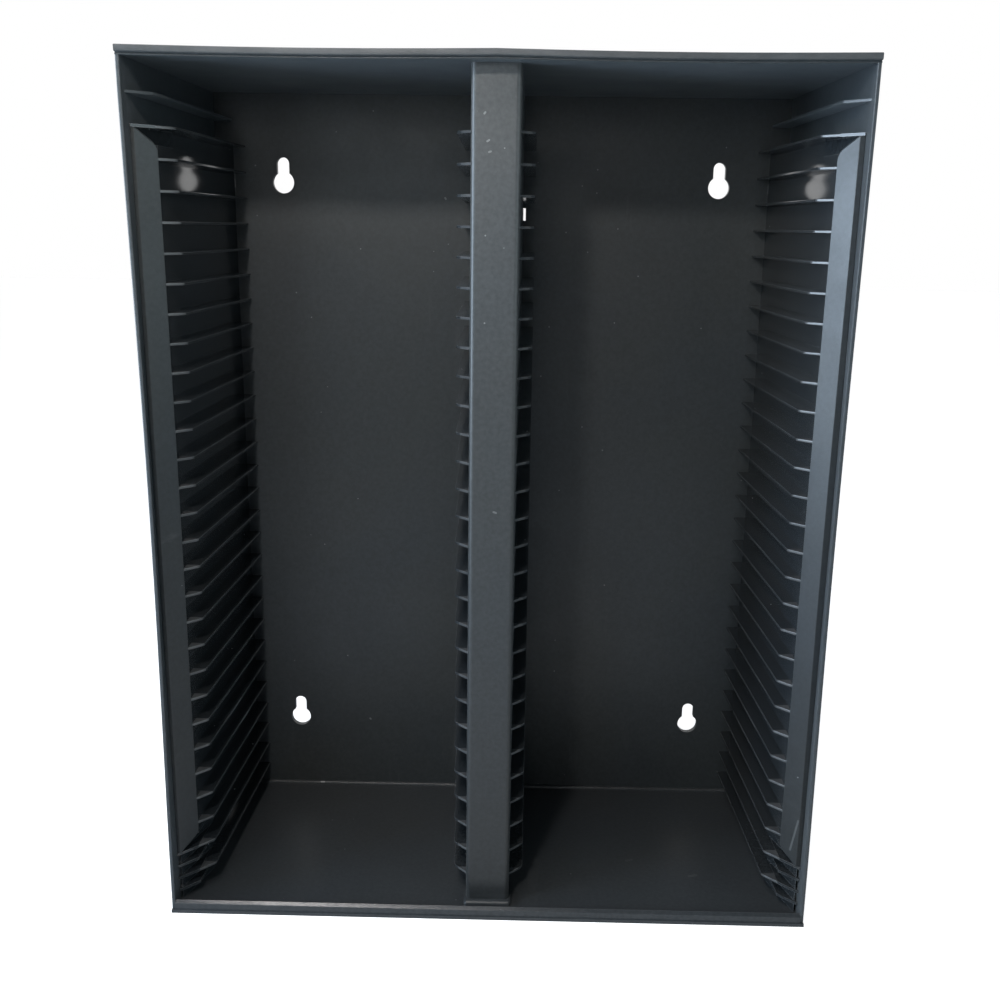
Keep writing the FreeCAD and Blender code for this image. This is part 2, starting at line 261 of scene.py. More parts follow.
def otherHand(piece, name):  # a mirrored copy with its own mesh
    workOn(piece)
    bpy.ops.object.duplicate()
    copy = bpy.context.object
    copy.name = copy.data.name = name
    copy.scale.x = -1
    bpy.ops.object.transform_apply(scale=True)
    editOn()
    facesOut()
    editOff()
    return copy


def place(piece, node, slot, finish):
    keepFlats(piece)
    piece.data.materials.clear()
    piece.data.materials.append(finish)
    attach(piece, "root")
    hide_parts(node)


# nodes of the finishes
def feed(tree, socket, value):  # a link from another node, or the socket's own value
    if hasattr(value, "is_output"):
        tree.links.new(value, socket)
    else:
        socket.default_value = value


def noise(tree, coords, scale, detail, squeeze=None, rough=0.55):
    texture = tree.nodes.new("ShaderNodeTexNoise")
    texture.inputs["Scale"].default_value = scale
    texture.inputs["Detail"].default_value = detail
    texture.inputs["Roughness"].default_value = rough
    if squeeze:
        mapping = tree.nodes.new("ShaderNodeMapping")
        mapping.inputs["Scale"].default_value = squeeze
        tree.links.new(coords, mapping.inputs["Vector"])
        coords = mapping.outputs["Vector"]
    tree.links.new(coords, texture.inputs["Vector"])
    return texture.outputs["Fac"]


def ramp(tree, value, ends, lowColor=(0, 0, 0, 1), highColor=(1, 1, 1, 1)):
    stops = tree.nodes.new("ShaderNodeValToRGB")
    for stop, position, color in zip(stops.color_ramp.elements, ends, (lowColor, highColor)):
        stop.position = position
        stop.color = color
    tree.links.new(value, stops.inputs["Fac"])
    return stops.outputs["Color"]


def mixColor(tree, amount, first, second, blend="MIX"):
    mix = tree.nodes.new("ShaderNodeMix")
    mix.data_type = "RGBA"
    mix.blend_type = blend
    for socket, value in (("Factor", amount), ("A", first), ("B", second)):
        feed(tree, mix.inputs[socket], value)
    return mix.outputs["Result"]


def maths(tree, operation, first, second):
    node = tree.nodes.new("ShaderNodeMath")
    node.operation = operation
    feed(tree, node.inputs[0], first)
    feed(tree, node.inputs[1], second)
    return node.outputs["Value"]


def vectors(tree, operation, first, second=(0, 0, 0)):
    node = tree.nodes.new("ShaderNodeVectorMath")
    node.operation = operation
    feed(tree, node.inputs[0], first)
    feed(tree, node.inputs[1], second)
    return node.outputs["Value" if operation in ("DOT_PRODUCT", "LENGTH") else "Vector"]


def scratch(tree, coords, start, end, wide):  # 1 within a fine line from start to end
    along = spot(*end) - spot(*start)
    away = vectors(tree, "SUBTRACT", coords, spot(*start))
    reach = vectors(tree, "DOT_PRODUCT", away, along.normalized())
    reach = maths(tree, "MINIMUM", maths(tree, "MAXIMUM", reach, 0.0), along.length)
    foot = tree.nodes.new("ShaderNodeVectorMath")
    foot.operation = "SCALE"
    foot.inputs[0].default_value = along.normalized()
    tree.links.new(reach, foot.inputs["Scale"])
    gap = vectors(tree, "LENGTH", vectors(tree, "SUBTRACT", away, foot.outputs["Vector"]))
    return maths(tree, "LESS_THAN", gap, wide * mm)


def bump(tree, height, strength, distance):
    node = tree.nodes.new("ShaderNodeBump")
    node.inputs["Strength"].default_value = strength
    node.inputs["Distance"].default_value = distance
    tree.links.new(height, node.inputs["Height"])
    return node


# finishes: black moulded plastic with a grain, a slow drift of tint, scuffs and dust, and painted
# light: darker towards the bottom, paler lit fronts, edge highlights, a spot of leaking light and
# lighter blacks on some pieces
moulding = {
    "ior": 1.5, "sheenRough": 0.45, "sheenTint": (0.82, 0.92, 1.0, 1),
    "driftEnds": (0.35, 0.65),
    "mottleShare": 0.35, "mottleEnds": (0.3, 0.7),
    "mottleDark": (0.82, 0.82, 0.82, 1), "mottlePale": (1.12, 1.12, 1.12, 1),
    "rubEnds": (0.6, 0.74), "rubRough": 0.62, "patchEnds": (0.48, 0.68),
    "scuffRough": 0.12, "dustRough": 0.3,
    "edgeSamples": 4, "edgeEnds": (0.8, 0.985),
    "unevenEnds": (0.4, 0.6), "unevenLow": (0.5, 0.5, 0.5, 1),
    "smearShare": 2.3, "smearEnds": (0.3, 0.7),
}


def plastic(name, look):
    finish = bpy.data.materials.new(name)
    finish.use_nodes = True
    tree = finish.node_tree
    nodes, links = tree.nodes, tree.links
    m = moulding
    shader = nodes["Principled BSDF"]
    shader.inputs["IOR"].default_value = m["ior"]
    shader.inputs["Sheen Weight"].default_value = look["sheen"]  # fine dust at a glancing angle
    shader.inputs["Sheen Roughness"].default_value = m["sheenRough"]
    shader.inputs["Sheen Tint"].default_value = m["sheenTint"]
    coords = nodes.new("ShaderNodeTexCoord").outputs["Object"]
    axes = nodes.new("ShaderNodeSeparateXYZ")
    links.new(coords, axes.inputs["Vector"])
    # slow drift between a bluish and a greenish black
    drift = noise(tree, coords, look["driftScale"], detail=3.0)
    color = ramp(tree, drift, m["driftEnds"], look["cool"], look["warm"])
    # fine mottling of the moulded surface
    mottle = noise(tree, coords, look["grainScale"] * m["mottleShare"], detail=3.0)
    shade = ramp(tree, mottle, m["mottleEnds"], m["mottleDark"], m["mottlePale"])
    color = mixColor(tree, 1.0, color, shade, "MULTIPLY")
    # painted light falloff: the colour is darker towards the bottom and lighter near the top, as
    # the lamps above light it
    paintedFalloff = nodes.new("ShaderNodeMapRange")
    paintedFalloff.inputs["From Max"].default_value = rack["top"] * mm
    paintedFalloff.inputs["To Min"].default_value, paintedFalloff.inputs["To Max"].default_value = look["paintedFalloff"]
    links.new(axes.outputs["Z"], paintedFalloff.inputs["Value"])
    color = mixColor(tree, 1.0, color, paintedFalloff.outputs["Result"], "MULTIPLY")
    # rubbed streaks where cases slide in and out
    rub = noise(tree, coords, look["scuffScale"], detail=5.0,
                squeeze=look["scuffStretch"], rough=m["rubRough"])
    patch = noise(tree, coords, look["patchScale"], detail=2.0)
    streaks = ramp(tree, rub, m["rubEnds"])
    scuff = maths(tree, "MULTIPLY", streaks, ramp(tree, patch, m["patchEnds"]))
    color = mixColor(tree, maths(tree, "MULTIPLY", scuff, look["scuff"]), color, look["scuffAndHighlightColor"])
    # a few grains of dust
    cells = nodes.new("ShaderNodeTexVoronoi")
    cells.inputs["Scale"].default_value = look["dustScale"]
    links.new(coords, cells.inputs["Vector"])
    grainOfDust = maths(tree, "LESS_THAN", cells.outputs["Distance"], look["dustSize"])
    picked = nodes.new("ShaderNodeSeparateColor")
    links.new(cells.outputs["Color"], picked.inputs["Color"])
    rare = maths(tree, "GREATER_THAN", picked.outputs["Red"], 1.0 - look["dustShare"])
    dust = maths(tree, "MULTIPLY", grainOfDust, rare)
    color = mixColor(tree, maths(tree, "MULTIPLY", dust, look["dust"]), color, look["dustAndLightSpotColor"])
    # single flecks and scratches, and one painted spot of light leaking through a seam
    for start, end, wide, share in look["marks"]:
        line = scratch(tree, coords, start, end, wide)
        color = mixColor(tree, maths(tree, "MULTIPLY", line, share), color, look["dustAndLightSpotColor"])
    # edges paler: partly real abrasion, and on the slot walls and ribs a painted edge highlight
    rounded = nodes.new("ShaderNodeBevel")
    rounded.samples = m["edgeSamples"]
    rounded.inputs["Radius"].default_value = look["edgeWide"]
    facing = nodes.new("ShaderNodeNewGeometry").outputs["Normal"]
    turned = vectors(tree, "DOT_PRODUCT", rounded.outputs["Normal"], facing)
    edge = ramp(tree, turned, m["edgeEnds"], (1, 1, 1, 1), (0, 0, 0, 1))
    uneven = ramp(tree, rub, m["unevenEnds"], m["unevenLow"])
    wornAndHighlit = maths(tree, "MULTIPLY", maths(tree, "MULTIPLY", edge, uneven), look["edgeWearAndHighlight"])
    color = mixColor(tree, wornAndHighlit, color, look["scuffAndHighlightColor"])
    # front ends paler: painted light on the lit rib fronts and the top's front bead; the polish
    # share changes the roughness there
    paintedFrontLight = maths(tree, "LESS_THAN", axes.outputs["Y"], frontY + look["frontBandDeep"] * mm)
    pale = maths(tree, "MULTIPLY", maths(tree, "MULTIPLY", paintedFrontLight, uneven), look["paintedFrontLight"])
    color = mixColor(tree, pale, color, look["scuffAndHighlightColor"])
    links.new(color, shader.inputs["Base Color"])
    # gloss that is uneven with handling
    smear = noise(tree, coords, look["patchScale"] * m["smearShare"], detail=4.0)
    gloss = nodes.new("ShaderNodeMapRange")
    gloss.inputs["From Min"].default_value, gloss.inputs["From Max"].default_value = m["smearEnds"]
    gloss.inputs["To Min"].default_value = look["roughLow"]
    gloss.inputs["To Max"].default_value = look["roughHigh"]
    links.new(smear, gloss.inputs["Value"])
    rougher = maths(tree, "MULTIPLY", scuff, m["scuffRough"])
    rougher = maths(tree, "SUBTRACT", rougher, maths(tree, "MULTIPLY", paintedFrontLight, look["polish"]))
    dusty = maths(tree, "MULTIPLY", dust, m["dustRough"])
    rough = maths(tree, "ADD", maths(tree, "ADD", gloss.outputs["Result"], rougher), dusty)
    links.new(rough, shader.inputs["Roughness"])
    # moulded grain and slight waviness
    grain = noise(tree, coords, look["grainScale"], detail=2.0)
    wave = noise(tree, coords, look["waveScale"], detail=1.0)
    grainBump = bump(tree, grain, strength=look["grain"], distance=look["grainHeight"])
    waveBump = bump(tree, wave, strength=1.0, distance=look["waveHeight"])
    links.new(grainBump.outputs["Normal"], waveBump.inputs["Normal"])
    links.new(waveBump.outputs["Normal"], shader.inputs["Normal"])
    return finish


# a mark is a line between two places, its half width and its strength
basicLook = {
    "cool": (0.034, 0.041, 0.047, 1), "warm": (0.038, 0.043, 0.0445, 1), "driftScale": 9.0,
    "grainScale": 1500.0, "grain": 0.35, "grainHeight": 0.00008,
    "waveScale": 14.0, "waveHeight": 0.0003,
    "scuffScale": 60.0, "scuffStretch": (1.0, 0.35, 3.0), "patchScale": 14.0, "scuff": 0.35,
    "scuffAndHighlightColor": (0.1, 0.104, 0.108, 1),
    "dustScale": 260.0, "dustSize": 0.09, "dustShare": 0.03,
    "dust": 0.7, "dustAndLightSpotColor": (0.3, 0.31, 0.31, 1),
    "roughLow": 0.3, "roughHigh": 0.4, "sheen": 0.12,
    # a slight painted light falloff, darker towards the bottom
    "edgeWearAndHighlight": 0.5, "edgeWide": 0.0004, "marks": (), "paintedFalloff": (0.95, 1.05),
    "frontBandDeep": 0.0, "paintedFrontLight": 0.0, "polish": 0.0,  # millimetres from the front, then shares
}
baseFinish = plastic("baseBlack", {
    # painted light: the base's black is lighter than the top's, standing in for light on the floor
    **basicLook, "cool": (0.041, 0.047, 0.053, 1), "warm": (0.044, 0.048, 0.051, 1),
    "roughLow": 0.34, "roughHigh": 0.42, "sheen": 0.06, "frontBandDeep": 4.2, "polish": 0.16,
    "marks": (
        # painted light: a pale spot where light leaks through the seam at the back of the floor
        ((-101.6, 125.4, 3.0), (-100.2, 125.4, 3.0), 0.7, 0.8),
        ((103.0, 38.0, 1.6), (106.5, 39.2, 1.6), 0.9, 0.12),
        ((72.0, 51.0, 1.6), (74.5, 52.0, 1.6), 0.9, 0.1),
    ),
})
topFinish = plastic("topBlack", {
    # painted light: the front face of the bead is paler, standing in for light on it; its polish
    # share makes it rougher
    **basicLook, "sheen": 0.13, "frontBandDeep": 0.75, "paintedFrontLight": 0.6, "polish": -0.12,
})
skinFinish = plastic("skinBlack", {
    # painted light: the skins' black is lighter than the top's, standing in for light on their
    # inner faces
    **basicLook, "cool": (0.05, 0.06, 0.069, 1), "warm": (0.054, 0.062, 0.067, 1), "sheen": 0.14,
})
backFinish = plastic("backSheetBlack", {
    **basicLook, "roughLow": 0.36, "roughHigh": 0.46, "sheen": 0.05,
    "scuffStretch": (3.0, 1.0, 0.35),
    "marks": (
        ((-72.3, 127, 43.6), (-71.9, 127, 43.2), 0.45, 0.5),
        ((-28.7, 127, 337.8), (-28.3, 127, 337.2), 0.45, 0.5),
    ),
})
slotLook = {
    **basicLook, "cool": (0.023, 0.028, 0.033, 1), "warm": (0.026, 0.029, 0.031, 1),
    "roughLow": 0.07, "roughHigh": 0.1, "grain": 0.06, "sheen": 0.03,
    # painted highlight: the edges are paler and stronger here, standing in for the lit edges of the
    # slot walls and ribs
    "edgeWearAndHighlight": 0.9, "edgeWide": 0.0005, "scuff": 0.12, "scuffAndHighlightColor": (0.18, 0.185, 0.19, 1),
}
slotFinish = plastic("slotGlossBlack", slotLook)
ribFinish = plastic("ribGlossBlack", {
    # painted light: the front of each rib is paler, standing in for light falling on the rib fronts
    **slotLook, "roughLow": 0.12, "roughHigh": 0.18, "frontBandDeep": 22.5, "paintedFrontLight": 0.4,
})
stripFinish = plastic("stripGrainBlack", {
    # painted light falloff: the strips are darker towards the bottom
    **basicLook, "grain": 0.6, "sheen": 0.08, "scuffStretch": (0.4, 1.0, 2.0), "paintedFalloff": (0.5, 1.1),
    "marks": (((147.7, 9.2, 51.2), (145.6, 11.5, 34.4), 0.5, 0.2),),
})
dividerFinish = plastic("dividerGrainBlack", {
    # painted light: the divider's black is lighter than the strips', standing in for light on its
    # face, and it is darker towards the bottom
    **basicLook, "cool": (0.056, 0.062, 0.066, 1), "warm": (0.06, 0.064, 0.065, 1),
    "paintedFalloff": (0.4, 1.28), "roughHigh": 0.38, "grain": 0.5, "dustShare": 0.06, "sheen": 0.1,
    "scuffStretch": (0.4, 1.0, 2.0),
    "marks": (
        ((-4.9, 11.3, 368.4), (-4.5, 11.3, 368.9), 0.4, 0.6),
        ((-3.6, 11.3, 357.6), (-2.8, 11.3, 358.1), 0.4, 0.6),
        ((-2.8, 11.3, 353.4), (-2.1, 11.3, 353.6), 0.4, 0.5),
        ((0.8, 11.3, 199.9), (1.9, 11.3, 199.5), 0.45, 0.4),
    ),
})
print("finishes made")

# top panel: a plate whose front edge has a bead, a groove and a thin lip under it
topSizes = {
    "section": [  # back from the front edge, up from the floor
        (rack["deep"], rack["top"]), (0.45, rack["top"]), (0.14, 391.76), (0.01, 391.45),
        (0.01, 389.8), (0.1, 389.45), (0.4, 389.2), (1.6, 389.1), (1.6, 388.85), (1.25, 388.75),
        (1.1, 388.45), (1.25, 388.12), (1.6, 388.02), (2.4, 388.06),
        (2.8, rack["ceiling"]), (rack["deep"], rack["ceiling"]),
    ],
    "lipRear": 3.0, "sag": 0.7, "sagSteps": 24, "soft": (0.12, 2, 50),
}
s = topSizes
topPanel = drawOutline("topPanel", [spot(-rack["halfWide"], y, z) for y, z in s["section"]])
pull((2 * rack["halfWide"], 0, 0))
facesOut()
pickPoints(topPanel, lambda p: p.y > rack["inside"])
stretch((rearShare, 1, 1), (0, 0, 0))
# the free front edge sags on both sides of the divider
sagLines = [(k, rack["halfWide"] * (2 * k / s["sagSteps"] - 1)) for k in range(1, s["sagSteps"])]
for k, across in sagLines:
    cut(spot(across, 0, 0), (1, 0, 0))
for k, across in sagLines:
    pickPoints(topPanel, lambda p: near(p.x, across) and p.y < s["lipRear"])
    shift((0, 0, -s["sag"] * abs(math.sin(2 * math.pi * k / s["sagSteps"]))))
editOff()
softenEdges(topPanel, *s["soft"])
place(topPanel, "top_panel", "panel_plastic", topFinish)

# base panel: a plate with a sloping front lip, a bead at the back and the divider's plinth
baseSizes = {
    "lipFront": 0.7, "lipRear": 2.35, "lipTop": 5.85, "lipSlope": 1.1, "lipRound": 0.2,
    "lipEnd": 150.45,
    "plinthHalf": 11.45, "plinthFront": 8.7, "plinthRear": 17.7, "plinthHigh": 2.2,
    "plinthRound": 1.5, "plinthTop": 1.8,
    "beadFront": 125.3, "beadHigh": 1.6, "beadRound": 1.2, "soft": (0.15, 2, 40),
}
s = baseSizes
basePanel = block("basePanel", spot(-rack["halfWide"], rack["front"], 0),
                  spot(rack["halfWide"], rack["deep"], rack["floor"]))
for y in (s["lipFront"], s["lipRear"], s["plinthFront"], s["plinthRear"],
          s["beadFront"], rack["inside"]):
    cut(spot(0, y, 0), (0, 1, 0))
for x in (s["lipEnd"], s["plinthHalf"]):
    cut(spot(x, 0, 0), (1, 0, 0))
    cut(spot(-x, 0, 0), (1, 0, 0))
raised = (  # half width, front, rear and height of what stands on the plate
    (s["lipEnd"], s["lipFront"], s["lipRear"], s["lipTop"] - rack["floor"]),
    (s["plinthHalf"], s["plinthFront"], s["plinthRear"], s["plinthHigh"]),
    (s["lipEnd"], s["beadFront"], rack["inside"], s["beadHigh"]),
)
for half, front, rear, high in raised:
    pickFaces(basePanel, lambda p, n: n.z > mostly and abs(p.x) < half and front < p.y < rear)
    pull((0, 0, high))
pickEdges(basePanel, lambda a, b: bothAt(a, b, "y", s["plinthFront"])
          and abs(a.x) < s["plinthHalf"] + slack and upright(a, b))
roundOff(s["plinthRound"], steps=4)
plinthTip = s["plinthFront"] + s["plinthRound"] + slack
pickEdges(basePanel, lambda a, b: bothAt(a, b, "z", rack["floor"] + s["plinthHigh"])
          and a.y < plinthTip and b.y < plinthTip)
roundOff(s["plinthTop"], steps=5)
pickPoints(basePanel, lambda p: near(p.z, s["lipTop"]) and near(p.y, s["lipFront"]))
shift((0, 0, -s["lipSlope"]))
pickEdges(basePanel, lambda a, b: bothAt(a, b, "z", s["lipTop"] - s["lipSlope"])
          and bothAt(a, b, "y", s["lipFront"]))
roundOff(s["lipRound"], steps=3)
pickEdges(basePanel, lambda a, b: bothAt(a, b, "z", rack["floor"] + s["beadHigh"])
          and bothAt(a, b, "y", s["beadFront"]))
roundOff(s["beadRound"], steps=5)
pickPoints(basePanel, lambda p: near(p.y, rack["deep"]))
stretch((rearShare, 1, 1), (0, 0, 0))
facesOut()
editOff()
softenEdges(basePanel, *s["soft"])
place(basePanel, "base_panel", "panel_plastic", baseFinish)
print("top and base made")

# side panels: thin leaning skins, sagging a little at the free front edge, with one ledge inside
skinSizes = {
    "thick": 1.38, "rim": 0.35, "held": 8.6, "round": 0.55, "soft": (0.15, 2, 40),
    "ledgeFront": 5.65, "ledgeTip": (141.95, 14.4), "ledgeRoot": 145.0, "tipRun": 2.0,
    "sagRight": 1.2, "sagLeft": 1.7,
}


def makeSkin(name, side, sag):
    s = skinSizes
    front, rear = rack["skinFront"], rack["inside"]
    inner = skinInner(front)
    ledgeLow = lastRib + rack["pitch"]
    ledgeHigh = ledgeLow + rack["ribThick"]
    reach = slotWall(rear) - skinInner(rear)
    ends = sorted((side * inner, side * (inner + s["thick"])))
    skin = block(name, spot(ends[0], front, rack["floor"]), spot(ends[1], rear, rack["ceiling"]))
    pickPoints(skin, lambda p: near(p.y, rear))
    shift((-side * rack["skinLean"] * (rear - front), 0, 0))
    for z in (ledgeLow, ledgeHigh):
        cut(spot(0, 0, z), (0, 0, 1))
    for y in (s["ledgeFront"], s["held"]):
        cut(spot(0, y, 0), (0, 1, 0))
    pickFaces(skin, lambda p, n: n.x * side < -mostly
              and ledgeLow < p.z < ledgeHigh and p.y > s["ledgeFront"])
    pull((side * reach, 0, 0))
    # the ledge slopes back from the skin to its tip
    tipX, tipY = s["ledgeTip"]
    pickPoints(skin, lambda p: near(p.y, s["ledgeFront"]) and p.x * side < s["ledgeRoot"])
    shift((side * (tipX - skinInner(s["ledgeFront"]) - reach), tipY - s["ledgeFront"], 0))
    pickPoints(skin, lambda p: near(p.y, s["held"]) and p.x * side < s["ledgeRoot"])
    shift((0, tipY + s["tipRun"] - s["held"], 0))
    # a thicker rim in front
    pickPoints(skin, lambda p: near(p.y, front) and p.x * side < inner + slack)
    shift((-side * s["rim"], 0, 0))
    bowIn(skin, rack["floor"], rack["ceiling"], sag, side, lambda p: p.y < front + slack)
    pickEdges(skin, lambda a, b: bothAt(a, b, "y", front) and upright(a, b))
    roundOff(s["round"], steps=4)
    facesOut()
    editOff()
    softenEdges(skin, *s["soft"])
    return skin


rightSkin = makeSkin("rightSidePanel", 1, skinSizes["sagRight"])
place(rightSkin, "right_side_panel", "panel_plastic", skinFinish)
leftSkin = makeSkin("leftSidePanel", -1, skinSizes["sagLeft"])
place(leftSkin, "left_side_panel", "panel_plastic", skinFinish)

# snap tabs that fill their slots in the back sheet
tabSizes = {"high": 5.6, "rearPart": 120.0, "within": 3.0, "step": 0.02, "taller": 0.6}


def addTabs(piece, lows, across, grow):
    t = tabSizes
    high = t["high"]
    for z in lows:
        cut(spot(0, 0, z), (0, 0, 1))
        cut(spot(0, 0, z + high), (0, 0, 1))
    for low, side in [(z, x) for z in lows for x in across]:
        pickFaces(piece, lambda p, n: n.y > mostly and p.y > t["rearPart"]
                  and low < p.z < low + high and abs(p.x - side) < t["within"])
        pull((0, t["step"], 0))
        stretch((1 + grow, 1, 1 + t["taller"] / high), spot(side, 0, low + high / 2))
        pull((0, rack["deep"] - rack["inside"] - t["step"], 0))


# slot walls: leaning plates behind the strips, turned out to the skins at both ends, with webs
wallSizes = {
    "thick": 2.0, "front": 16.6, "turn": 36.0, "flange": (149.2, 9.6), "flangeRear": (150.1, 11.2),
    "endLow": 33.5, "endHigh": 354.8,
    "tabLow": (41.8, 342.3), "tabGrowRight": 0.22, "tabGrowLeft": 0.32,
    "webFront": 7.9, "webLand": 149.8, "webShort": 1.0, "webSink": 0.3, "lowWebs": 4,
    "soft": (0.2, 2, 40),
}
s = wallSizes
wallTop = lastRib + rack["ribThick"]
rearFace = slotWall(rack["inside"])
wallRear = [(rearFace, rack["inside"]), (rearFace + s["thick"], rack["inside"])]
wallPlan = [
    (slotWall(s["front"]), s["front"]), *wallRear, (slotWall(s["front"]) + s["thick"], s["front"]),
]
endPlan = [
    (slotWall(s["turn"]), s["turn"]), *wallRear,
    (slotWall(s["turn"]) + s["thick"], s["turn"] + s["thick"]), s["flangeRear"], s["flange"],
]
webRear = rack["inside"] - s["webShort"]
webPlan = [
    (skinInner(s["webFront"]) - rack["seatGap"], s["webFront"]), (s["webLand"], s["webFront"]),
    (rack["wallHalf"], rack["wallFront"]), (slotWall(webRear) + s["webSink"], webRear),
    (skinInner(webRear) - rack["seatGap"], webRear),
]
webHeights = [rack["firstRib"] + (k - 1) * rack["pitch"] / 2 for k in range(s["lowWebs"])]
webHeights.append(lastRib)


def wallLength(name, plan, low, high):
    length = drawOutline(name, [spot(x, y, low) for x, y in plan])
    pull((0, 0, high - low))
    facesOut()
    return length


def makeWall(name, grow):
    s = wallSizes
    wall = wallLength(name, wallPlan, s["endLow"], s["endHigh"])
    addTabs(wall, s["tabLow"], [rearFace + s["thick"] / 2], grow)
    editOff()
    added = [(endPlan, rack["floor"], s["endLow"]), (endPlan, s["endHigh"], wallTop)]
    added += [(webPlan, height, height + rack["ribThick"]) for height in webHeights]
    for plan, low, high in added:
        length = wallLength("wallLength", plan, low, high)
        editOff()
        fuse(wall, length)
    softenEdges(wall, *s["soft"])
    return wall


rightWall = makeWall("rightSlotWall", s["tabGrowRight"])
tightWall = makeWall("tightSlotWall", s["tabGrowLeft"])
leftWall = otherHand(tightWall, "leftSlotWall")
bpy.data.objects.remove(tightWall)
place(rightWall, "right_slot_wall", "rack_plastic", slotFinish)
place(leftWall, "left_slot_wall", "rack_plastic", slotFinish)
print("sides and slot walls made")

# ribs: one tapered rib with a sloping front and a round tip, stacked on each slot wall
ribSizes = {
    "reach": 6.5, "root": 0.5, "rootStart": 1.2, "tipBand": 0.5, "tipRound": 1.2, "tipThick": 0.9,
    "postStart": 18.0, "soft": (0.22, 2, 30),
}


def ribStack(name, rootLine, startY, inward):  # inward is -1 towards the middle, 1 away from it
    s = ribSizes
    rear = rack["inside"]
    start = rootLine(startY)
    tipY = startY + s["reach"]
    tip = start + inward * s["reach"]
    lean = rootLine(rear) - rootLine(tipY)
    sink = -inward * s["root"]
    rootY = startY + s["rootStart"]
    plan = [
        (start, startY), (tip, tipY), (tip + lean, rear),
        (rootLine(rear) + sink, rear), (rootLine(rootY) + sink, rootY),
    ]
    rib = drawOutline(name, [spot(x, y, rack["firstRib"]) for x, y in plan])
    pull((0, 0, rack["ribThick"]))
    facesOut()
    pickPoints(rib, lambda p: abs(p.x - rootLine(p.y)) > s["reach"] - s["tipBand"])
    stretch((1, 1, s["tipThick"]), spot(0, 0, rack["firstRib"] + rack["ribThick"] / 2))
    pickEdges(rib, lambda a, b: bothAt(a, b, "y", tipY) and upright(a, b))
    roundOff(s["tipRound"], steps=3)
    editOff()
    softenEdges(rib, *s["soft"])
    stack(rib, rack["ribCount"], rack["pitch"])
    return rib


sideRibs = ribStack("rightSlotRibs", slotWall, rack["wallFront"], -1)
leftRibs = otherHand(sideRibs, "leftSlotRibs")
postRibs = ribStack("dividerRightRibs", postWall, ribSizes["postStart"], 1)
leftPostRibs = otherHand(postRibs, "dividerLeftRibs")
for ribs, node in ((sideRibs, "right_slot_ribs"), (leftRibs, "left_slot_ribs"),
                   (postRibs, "divider_right_ribs"), (leftPostRibs, "divider_left_ribs")):
    place(ribs, node, "rack_plastic", ribFinish)
print("ribs made")

# front strips: sloping covers of the slot walls, with a narrow flat beside the skin and mitred ends
stripSizes = {
    "low": 26.9, "high": 361.4, "thick": 1.2,
    "land": 8.6, "landBack": 0.5, "inner": 141.6, "innerY": 15.95,
    "mitre": 6.2, "cornerRound": 2.4, "cornerBand": 1.0, "soft": (0.3, 3, 30),
    "outerRight": 148.2, "outerLeft": 148.75, "sagRight": 0.6, "sagLeft": 0.4, "sagBand": 0.6,
}


def makeStrip(name, side, outer, sag):
    s = stripSizes
    slant = s["thick"] / math.sqrt(2)
    edge = skinInner(s["land"]) - rack["seatGap"]
    landRear = s["land"] + s["thick"]
    plan = [
        (edge, s["land"]), (outer, s["land"]), (s["inner"], s["innerY"]),
        (s["inner"] + slant, s["innerY"] + slant),
        (outer + s["landBack"], landRear), (edge, landRear),
    ]
    strip = drawOutline(name, [spot(side * x, y, s["low"]) for x, y in plan])
    pull((0, 0, s["high"] - s["low"]))
    facesOut()
    run = outer - s["inner"]
    cut(spot(side * outer, 0, s["high"]), (-side * s["mitre"], 0, run), fill=True, clear=True)
    cut(spot(side * outer, 0, s["low"]), (-side * s["mitre"], 0, -run), fill=True, clear=True)
    facesOut()
    # the mitres' inner corners are round
    tips = (s["low"] + s["mitre"], s["high"] - s["mitre"])
    band = s["cornerBand"]
    pickEdges(strip, lambda a, b: abs(a.x) < s["inner"] + band and abs(b.x) < s["inner"] + band
              and any(abs(a.z - z) < band and abs(b.z - z) < band for z in tips))
    roundOff(s["cornerRound"], steps=5)
    bowIn(strip, tips[0], tips[1], sag, side, lambda p: abs(p.x) < outer + s["sagBand"])
    facesOut()
    editOff()
    softenEdges(strip, *s["soft"])
    return strip


rightStrip = makeStrip("rightFrontStrip", 1, stripSizes["outerRight"], stripSizes["sagRight"])
place(rightStrip, "right_front_strip", "strip_plastic", stripFinish)
leftStrip = makeStrip("leftFrontStrip", -1, stripSizes["outerLeft"], stripSizes["sagLeft"])
place(leftStrip, "left_front_strip", "strip_plastic", stripFinish)

# divider: a hollow post, open to the back sheet, with rounded front corners
postSizes = {
    "foot": 3.8, "wall": 2.0, "round": 2.3, "tabLow": (58.0, 327.0), "tabGrow": 0.3,
    "soft": (0.25, 2, 40),
}
s = postSizes
faceY = rack["postFace"]
faceHalf = postWall(faceY)
postRear = postWall(rack["inside"])
rightPlan = [
    (faceHalf, faceY), (postRear, rack["inside"]), (postRear - s["wall"], rack["inside"]),
    (faceHalf - s["wall"], faceY + s["wall"]),
]
postPlan = rightPlan + [(-x, y) for x, y in reversed(rightPlan)]
post = drawOutline("dividerPost", [spot(x, y, s["foot"]) for x, y in postPlan])
pull((0, 0, rack["ceiling"] - s["foot"]))
facesOut()
addTabs(post, s["tabLow"], [side * (postRear - s["wall"] / 2) for side in (-1, 1)], s["tabGrow"])
pickEdges(post, lambda a, b: bothAt(a, b, "y", faceY) and upright(a, b))
roundOff(s["round"], steps=6)
facesOut()
editOff()
softenEdges(post, *s["soft"])
place(post, "divider_post", "strip_plastic", dividerFinish)
print("strips and divider made")

# the back sheet keeps its own solid, with its keyholes and tab slots
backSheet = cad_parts["back_panel"]
backSheet.data.materials.clear()
backSheet.data.materials.append(backFinish)

